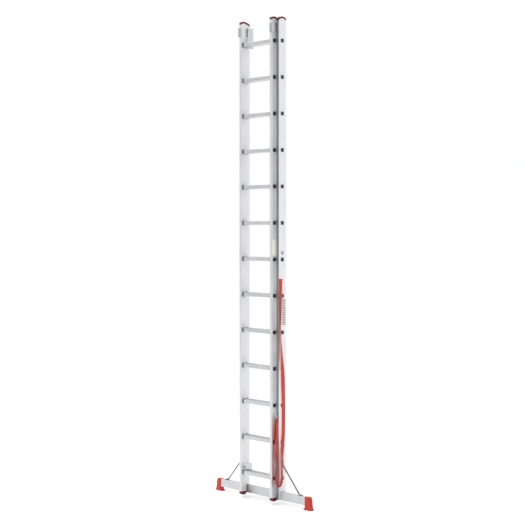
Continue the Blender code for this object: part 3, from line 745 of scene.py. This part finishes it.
def rib_tree():
    """A line of rungs, each with a row of bars on its top and another on its front."""
    tree, given, end = new_tree(
        "ribs_on_every_rung",
        {"Count": "Int", "Pitch": "Float", "First Height": "Float", "Depth": "Float", "Rung Size": "Float",
         "Ribs": "Int", "Rib Spacing": "Float", "Piece": "Object", "Material": "Material"},
    )
    step = add_node(tree, "ShaderNodeCombineXYZ", {"Z": given["Pitch"]})
    half = add_node(tree, "ShaderNodeMath", {0: given["Rung Size"], 1: 0.5}, operation="MULTIPLY").outputs[0]
    piece = add_node(tree, "GeometryNodeObjectInfo", {"Object": given["Piece"]})
    gaps = add_node(tree, "ShaderNodeMath", {0: given["Ribs"], 1: 1.0}, operation="SUBTRACT").outputs[0]
    spacing = given["Rib Spacing"]
    band = add_node(tree, "ShaderNodeMath", {0: gaps, 1: spacing}, operation="MULTIPLY").outputs[0]
    back = add_node(tree, "ShaderNodeMath", {0: band, 1: -0.5}, operation="MULTIPLY").outputs[0]
    join = add_node(tree, "GeometryNodeJoinGeometry")
    # The top face's ribs are spaced along Y, and the front face's along Z, a quarter turn forward.
    faces = (("Y", "Z", half, 0.0), ("Z", "Y", None, math.pi / 2))
    for spaced, normal, lift, turn in faces:
        if lift is None:
            lift = add_node(tree, "ShaderNodeMath", {0: half, 1: -1.0}, operation="MULTIPLY").outputs[0]
        first = add_node(tree, "ShaderNodeCombineXYZ", {spaced: back, normal: lift})
        gap = add_node(tree, "ShaderNodeCombineXYZ", {spaced: spacing})
        ribs = add_node(
            tree, "GeometryNodeMeshLine",
            {"Count": given["Ribs"], "Start Location": first.outputs[0], "Offset": gap.outputs[0]},
            mode="OFFSET",
        )
        set_of = add_node(
            tree, "GeometryNodeInstanceOnPoints",
            {"Points": ribs.outputs[0], "Instance": piece.outputs["Geometry"], "Rotation": (turn, 0, 0)},
        )
        tree.links.new(set_of.outputs[0], join.inputs[0])
    start = add_node(tree, "ShaderNodeCombineXYZ", {"Y": given["Depth"], "Z": given["First Height"]})
    rungs = add_node(
        tree, "GeometryNodeMeshLine",
        {"Count": given["Count"], "Start Location": start.outputs[0], "Offset": step.outputs[0]},
        mode="OFFSET",
    )
    copies = add_node(
        tree, "GeometryNodeInstanceOnPoints", {"Points": rungs.outputs[0], "Instance": join.outputs[0]}
    )
    finish_tree(tree, copies.outputs[0], given, end)
    return tree


RIBS = rib_tree()
RIB_COUNT = 5
RIB_SPACING = 4.4 * MM
RIB_TALL = 0.6 * MM
RIB_WIDE = 1.8 * MM
RIB_SUNK = 0.3 * MM
GUIDE_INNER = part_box("top_guide_right")[0].x
RIB_REACH = min(GUIDE_INNER, FLY_LOW.x - COLLAR_LENGTH) - 3 * MM


def rib_bar():
    """A thin bar along X with a half-round top, sunk a little into the rung."""
    turns = [math.pi * i / 5 for i in range(6)]
    outline = [(RIB_WIDE / 2 * math.cos(t), RIB_TALL * math.sin(t)) for t in turns]
    outline = [(RIB_WIDE / 2, -RIB_SUNK), *outline, (-RIB_WIDE / 2, -RIB_SUNK)]
    return skinned([[(x, y, z) for y, z in outline] for x in (-RIB_REACH, RIB_REACH)])


rib = pattern_piece("tread_rib", rib_bar())
for body, depth in (("fly", FLY_RUNG_Y), ("base", BASE_RUNG_Y)):
    made = grow(
        f"{body}_tread_ribs", RIBS,
        {**ladder, "Depth": depth, "Rung Size": RUNG_SIZE, "Ribs": RIB_COUNT, "Rib Spacing": RIB_SPACING,
         "Piece": rib, "Material": RUNG_METAL},
        body,
    )
    print(made.name, len(made.data.polygons), "faces")
bpy.data.objects.remove(rib)

# %% [markdown]
# ### Rivets and stitches
#
# Rivets hold the strap's head and the guides, and two rows of thread close the eye. Both are small
# pieces at a grid of points, so one tree makes them: a row of pieces, each with a turn, up a column.

# %% Tree: a piece on a grid


def grid_tree():
    """A row of pieces, copied up a column."""
    tree, given, end = new_tree(
        "piece_on_a_grid",
        {"Across": "Int", "Up": "Int", "Across Step": "Vector", "Up Step": "Vector", "Start": "Vector",
         "Turn": "Vector", "Piece": "Object", "Material": "Material"},
    )
    piece = add_node(tree, "GeometryNodeObjectInfo", {"Object": given["Piece"]})
    row = add_node(
        tree, "GeometryNodeMeshLine",
        {"Count": given["Across"], "Offset": given["Across Step"]}, mode="OFFSET",
    )
    in_row = add_node(
        tree, "GeometryNodeInstanceOnPoints",
        {"Points": row.outputs[0], "Instance": piece.outputs["Geometry"], "Rotation": given["Turn"]},
    )
    column = add_node(
        tree, "GeometryNodeMeshLine",
        {"Count": given["Up"], "Start Location": given["Start"], "Offset": given["Up Step"]}, mode="OFFSET",
    )
    copies = add_node(
        tree, "GeometryNodeInstanceOnPoints", {"Points": column.outputs[0], "Instance": in_row.outputs[0]}
    )
    finish_tree(tree, copies.outputs[0], given, end)
    return tree


GRID = grid_tree()


def dome(radius, height, rings=4, segments=16):
    """A low dome along +X, closed underneath, as a rivet's or a screw's head."""
    bm = bmesh.new()
    loops = []
    for ring in range(rings):
        lean = math.pi / 2 * ring / rings
        loops.append([
            bm.verts.new((
                height * math.sin(lean),
                radius * math.cos(lean) * math.cos(2 * math.pi * i / segments),
                radius * math.cos(lean) * math.sin(2 * math.pi * i / segments),
            ))
            for i in range(segments)
        ])
    top = bm.verts.new((height, 0, 0))
    bm.faces.new(loops[0][::-1])
    for near, far in zip(loops, loops[1:]):
        for i in range(segments):
            j = (i + 1) % segments
            bm.faces.new((near[i], near[j], far[j], far[i]))
    for i in range(segments):
        bm.faces.new((loops[-1][i], loops[-1][(i + 1) % segments], top))
    bmesh.ops.recalc_face_normals(bm, faces=bm.faces)
    return bm


GUIDE_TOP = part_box("top_guide_right")[1].z
GUIDE_RIVET_BACK = 12 * MM
GUIDE_RIVET_DROP = 50 * MM
GUIDE_RIVET_GAP = 30 * MM
HEAD_RIVET_INSET = 6 * MM
rivet = pattern_piece("rivet", dome(3.6 * MM, 1.8 * MM))
anchor_gap = ANCHOR_HIGH.y - ANCHOR_LOW.y - 2 * HEAD_RIVET_INSET
rivet_rows = {
    "strap_anchor_rivets": (
        (head_x + STRAP_THICK / 2, ANCHOR_LOW.y + HEAD_RIVET_INSET, (ANCHOR_LOW.z + ANCHOR_HIGH.z) / 2),
        (0, anchor_gap, 0), (0, 0, 0), 2, 1, (0, 0, 0), BRACKET_STEEL, "bracket_steel",
    ),
    "guide_rivets_right": (
        (BASE_HIGH.x, BASE_LOW.y + GUIDE_RIVET_BACK, GUIDE_TOP - GUIDE_RIVET_DROP),
        (0, 0, 0), (0, 0, GUIDE_RIVET_GAP), 1, 2, (0, 0, 0), STILE_METAL, "stile_aluminium",
    ),
    "guide_rivets_left": (
        (-BASE_HIGH.x, BASE_LOW.y + GUIDE_RIVET_BACK, GUIDE_TOP - GUIDE_RIVET_DROP),
        (0, 0, 0), (0, 0, GUIDE_RIVET_GAP), 1, 2, (0, 0, math.pi), STILE_METAL, "stile_aluminium",
    ),
}
for name, (start, across, up, count, rows, turn, finish, slot) in rivet_rows.items():
    made = grow(
        name, GRID,
        {"Across": count, "Up": rows, "Across Step": across, "Up Step": up, "Start": start, "Turn": turn,
         "Piece": rivet, "Material": finish},
        "base",
    )
    print(made.name, len(made.data.polygons), "faces")
bpy.data.objects.remove(rivet)

# %% [markdown]
# ## Moulded caps and feet
#
# Nothing that leaves a mould has a knife edge. A copy of each cap and foot is merged into one skin and
# its outer edges are rounded, and the copy stands in for the plain solid. The faces that seat on a stile
# keep their sharp edges: a seat of -1 looks down, 1 looks up, and 0 means that there is none.

# %% Soft edges


def soften(node, radius, seat, finish, body):
    """A copy of a node with rounded outer edges, which replaces it. Faces turned to the seat stay sharp."""
    mesh = NODES[node].data.copy()
    mesh.materials.clear()
    bm = bmesh.new()
    bm.from_mesh(mesh)
    bmesh.ops.remove_doubles(bm, verts=bm.verts, dist=0.01 * MM)
    bmesh.ops.dissolve_limit(
        bm, angle_limit=math.radians(1), verts=bm.verts, edges=bm.edges, delimit=set()
    )
    outer = [
        edge for edge in bm.edges
        if len(edge.link_faces) == 2 and edge.calc_face_angle_signed() > math.radians(40)
        and not any(face.normal.z * seat > 0.3 for face in edge.link_faces)
    ]
    bmesh.ops.bevel(
        bm, geom=outer, offset=radius, segments=3, profile=0.5, affect="EDGES", clamp_overlap=True
    )
    bmesh.ops.triangulate(bm, faces=[face for face in bm.faces if len(face.verts) > 4])
    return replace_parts(finished(node + "_rounded", bm, finish, body), node)


CAP_ROUND = 2.5 * MM
FOOT_ROUND = 3.0 * MM
for label in SIDES:
    for node, radius, seat, finish, body, slot in (
        (f"fly_top_cap_{label}", CAP_ROUND, -1, CAP_RUBBER, "fly", "cap_rubber"),
        (f"base_top_cap_{label}", CAP_ROUND, -1, CAP_RUBBER, "base", "cap_rubber"),
        (f"fly_foot_{label}", FOOT_ROUND, 1, CAP_RUBBER, "fly", "cap_rubber"),
        (f"stabiliser_foot_{label}", FOOT_ROUND, 0, FOOT_PLASTIC, "base", "foot_plastic"),
    ):
        made = soften(node, radius, seat, finish, body)
        print(made.name, len(made.data.polygons), "faces")

# %% [markdown]
# ## Painting the metal nodes
#
# The sections, brackets and bolts are already right in shape, so they only get their finish.

# %% Finishes on the model's own nodes
# The base stiles take the finish with painted shade on their front face.
FINISH_OF = {
    "fly_stile": STILE_METAL, "base_stile": STILE_METAL_PAINTED_SHADE, "fly_rung": RUNG_METAL, "base_rung": RUNG_METAL,
    "stabiliser_bar": BAR_METAL, "top_guide": GUIDE_METAL, "rung_hook": GUIDE_METAL,
    "strut_upper_bolt": BOLT_STEEL, "strut_lower_bolt": BOLT_STEEL, "bar_bolt": BOLT_STEEL,
    "hook_pivot": BOLT_STEEL, "strut": STRUT_STEEL, "strap_anchor": BRACKET_STEEL,
    "strap_hook": BRACKET_STEEL,
}
for name, node in NODES.items():
    found = [kind for kind in FINISH_OF if name.startswith(kind)]
    if found:
        for place in node.material_slots:
            place.material = FINISH_OF[max(found, key=len)]
print("painted:", sum(any(name.startswith(kind) for kind in FINISH_OF) for name in NODES))

# %% [markdown]
# ## Labels
#
# Three printed films are stuck on the right-hand stiles. None of them carries any wording: one has plain
# dark bars, one a ring, and one is a blank pale panel. A film is a thin plate with rounded corners.

# %% Label finishes
FILM = 0.3 * MM


def printed(name, ground, ink, pattern):
    """A satin film whose ink follows a pattern: a function that takes the tree and gives a 0 to 1 mask."""
    made, tree, shader = new_finish(name, Roughness=0.4, IOR=1.49)
    mask = pattern(tree)
    tree.links.new(two_tones(tree, mask, ground, ink, 0.48, 0.52), shader.inputs["Base Color"])
    return made


def film(name, x, y_range, z_range, finish, body, corner=3 * MM):
    """A plate on an outer web, with rounded corners."""
    (y_low, y_high), (z_low, z_high) = y_range, z_range
    outline = []
    corners = [(y_high, z_high), (y_low, z_high), (y_low, z_low), (y_high, z_low)]
    for quarter, ((y, z), (sy, sz)) in enumerate(zip(corners, [(1, 1), (-1, 1), (-1, -1), (1, -1)])):
        for i in range(7):
            turn = math.radians(90 * quarter + 15 * i)
            outline.append((y + corner * (math.cos(turn) - sy), z + corner * (math.sin(turn) - sz)))
    bm = skinned([[(level, y, z) for y, z in outline] for level in (x, x + FILM)])
    return finished(name, bm, finish, body)


BAR_PITCH = 13 * MM


def bars(tree):
    """Dark bars along Z with pale gaps, at one pitch."""
    place = add_node(tree, "ShaderNodeTexCoord").outputs["Object"]
    height = add_node(tree, "ShaderNodeSeparateXYZ", {"Vector": place}).outputs["Z"]
    share = add_node(tree, "ShaderNodeMath", {0: height, 1: 1 / BAR_PITCH}, operation="MULTIPLY").outputs[0]
    part = add_node(tree, "ShaderNodeMath", {0: share}, operation="FRACT").outputs[0]
    return add_node(tree, "ShaderNodeMath", {0: part, 1: 0.55}, operation="LESS_THAN").outputs[0]


WEB_REAR = BASE_HIGH.y - 4 * MM
bar_label = film(
    "bar_label", BASE_HIGH.x, (WEB_REAR - 34 * MM, WEB_REAR), (1.377, 1.577),
    printed("printed_bar_film", "E2E0DC", "847A76", bars), "base",
)
print(bar_label.name)

# %% [markdown]
# The ring on the web is a round film. Its pattern is the distance from its own middle: a Mapping node
# moves the middle to zero, and two comparisons leave a ring.

# %% Ring and panel
RING_Z = 1.930
RING_RADIUS = 15 * MM


def ring(tree):
    """A ring between two radii about the film's middle."""
    place = add_node(tree, "ShaderNodeTexCoord").outputs["Object"]
    centred = add_node(
        tree, "ShaderNodeMapping",
        {"Vector": place, "Location": (0, -BASE_RUNG_Y, -RING_Z), "Scale": (0, 1, 1)},
    )
    away = add_node(
        tree, "ShaderNodeVectorMath", {0: centred.outputs["Vector"]}, operation="LENGTH"
    ).outputs["Value"]
    outside = add_node(tree, "ShaderNodeMath", {0: away, 1: RING_RADIUS * 0.42}, operation="GREATER_THAN")
    inside = add_node(tree, "ShaderNodeMath", {0: away, 1: RING_RADIUS * 0.9}, operation="LESS_THAN")
    return add_node(
        tree, "ShaderNodeMath", {0: outside.outputs[0], 1: inside.outputs[0]}, operation="MULTIPLY"
    ).outputs[0]


def blank(tree):
    """Faint cloudiness in a panel of one colour."""
    place = add_node(tree, "ShaderNodeTexCoord").outputs["Object"]
    return add_node(tree, "ShaderNodeTexNoise", {"Vector": place, "Scale": 1 / PATCH}).outputs["Fac"]


ring_film = film(
    "ring_label", BASE_HIGH.x, (BASE_RUNG_Y - RING_RADIUS, BASE_RUNG_Y + RING_RADIUS),
    (RING_Z - RING_RADIUS, RING_Z + RING_RADIUS), printed("printed_ring_film", "E6E4EC", "4C50A4", ring),
    "base", RING_RADIUS,
)
panel = film(
    "panel_label", FLY_HIGH.x, (FRONT + 6 * MM, FRONT + 36 * MM), (1.91, 2.03),
    printed("printed_panel_film", "E9E6D2", "EFEDDC", blank), "fly",
)
print(ring_film.name, panel.name)

# %% [markdown]
# ## The strap's stitches
#
# Two rows of thread close the eye where the webbing is doubled. One stitch is a short rounded bar, and
# the same grid tree repeats it on both faces of the strap.

# %% Stitches
STITCH_LONG = 5 * MM
STITCH_THICK = 1.1 * MM
STITCH_WIDE = 1.6 * STITCH_THICK
STITCH_GAP = 7.5 * MM
STITCH_ROWS = 6
sewn = strand[-4]
row_gap = STRAP_WIDTH * 0.5


def stitch_bar():
    """A short bar of thread along Z with tapered ends, six-sided."""
    sides = [math.pi / 3 * i for i in range(6)]
    return skinned([
        [
            (STITCH_THICK / 2 * radius * math.cos(turn), STITCH_WIDE / 2 * radius * math.sin(turn),
             STITCH_LONG * share)
            for turn in sides
        ]
        for share, radius in ((-0.5, 0.35), (-0.35, 1.0), (0.35, 1.0), (0.5, 0.35))
    ])


stitch = pattern_piece("stitch", stitch_bar())
for face, side in (("outer", 1), ("inner", -1)):
    start = (sewn.x + side * STRAP_THICK / 2, sewn.y - row_gap / 2, sewn.z - STITCH_ROWS * STITCH_GAP / 2)
    grow(
        f"strap_stitches_{face}", GRID,
        {"Across": 2, "Up": STITCH_ROWS, "Across Step": (0, row_gap, 0), "Up Step": (0, 0, STITCH_GAP),
         "Start": start, "Turn": (0, 0, 0), "Piece": stitch, "Material": THREAD},
        "base",
    )
bpy.data.objects.remove(stitch)

# %% [markdown]
# ## Studio
#
# Bright metal shows its surroundings, so the studio is a white floor under a white sky, with cards that
# only reflections see. A dark card stands on the right front, which draws the deep slot between the two
# sections as a dark line. A grey card on the left front sets the tone of the narrow front faces.

# %% Floor and cards
world = bpy.data.worlds.new("studio")
world.use_nodes = True
bpy.context.scene.world = world
world.node_tree.nodes["Background"].inputs["Color"].default_value = (1, 1, 1, 1)
world.node_tree.nodes["Background"].inputs["Strength"].default_value = 1.0
bpy.context.scene.view_settings.view_transform = "Standard"

FLOOR_REACH = 60
floor_finish, floor_tree, floor_shader = new_finish("painted_studio_floor", Roughness=0.9)
floor_place = add_node(floor_tree, "ShaderNodeTexCoord").outputs["Object"]
floor_clouds = add_node(floor_tree, "ShaderNodeTexNoise", {"Vector": floor_place, "Scale": 0.8})
floor_tree.links.new(
    two_tones(floor_tree, floor_clouds.outputs["Fac"], "F8F8F8", "FAFAFA"), floor_shader.inputs["Base Color"]
)
floor_shader.inputs["Emission Color"].default_value = (1, 1, 1, 1)
floor_shader.inputs["Emission Strength"].default_value = 0.12


def sheet_of(name, corners, finish):
    """One flat four-sided face, as a staged object."""
    mesh = bpy.data.meshes.new(name)
    mesh.from_pydata(corners, [], [(0, 1, 2, 3)])
    made = add_object(name, mesh, finish)
    return made


sheet_of(
    "floor",
    [(-FLOOR_REACH, -FLOOR_REACH, 0), (FLOOR_REACH, -FLOOR_REACH, 0), (FLOOR_REACH, FLOOR_REACH, 0),
     (-FLOOR_REACH, FLOOR_REACH, 0)],
    floor_finish,
)


def glow(name, colour, strength):
    """A card that gives off an even light of its own."""
    made, _, shader = new_finish(name, Emission_Strength=strength, Specular_IOR_Level=0.0)
    shader.inputs["Base Color"].default_value = (0, 0, 0, 1)
    shader.inputs["Emission Color"].default_value = linear(colour)
    return made


def card(name, turn, away, width, height, finish):
    """An upright card that faces the ladder from a turn about the vertical, in degrees from +X."""
    lean = math.radians(turn)
    out = Vector((math.cos(lean), math.sin(lean), 0))
    along = Vector((-out.y, out.x, 0)) * width / 2
    foot_of = out * away
    top_of = foot_of + Vector((0, 0, height))
    made = sheet_of(name, [foot_of - along, foot_of + along, top_of + along, top_of - along], finish)
    made.visible_camera = False
    made.visible_diffuse = False
    made.visible_shadow = False
    return made


card("dark_card", -68, 9, 16, 9, glow("dark_card_felt", "3A3A3C", 1.0))
card("grey_card", -140, 9, 8, 9, glow("grey_card_paper", "C6C6C8", 1.0))

# %% [markdown]
# One large softbox above the left front gives the caps and rungs a soft highlight and a soft shadow.

# %% Light
SOFTBOX_SIDE = 8
SOFTBOX_POWER = 300
softbox_data = bpy.data.lights.new("softbox", "AREA")
softbox_data.shape = "SQUARE"
softbox_data.size = SOFTBOX_SIDE
softbox_data.energy = SOFTBOX_POWER
softbox = bpy.data.objects.new("softbox", softbox_data)
softbox.location = (-2.5, -3.5, 9)
softbox.rotation_euler = (-softbox.location).to_track_quat("-Z", "Y").to_euler()
bpy.context.scene.collection.objects.link(softbox)
print("studio: floor, two cards and a softbox")
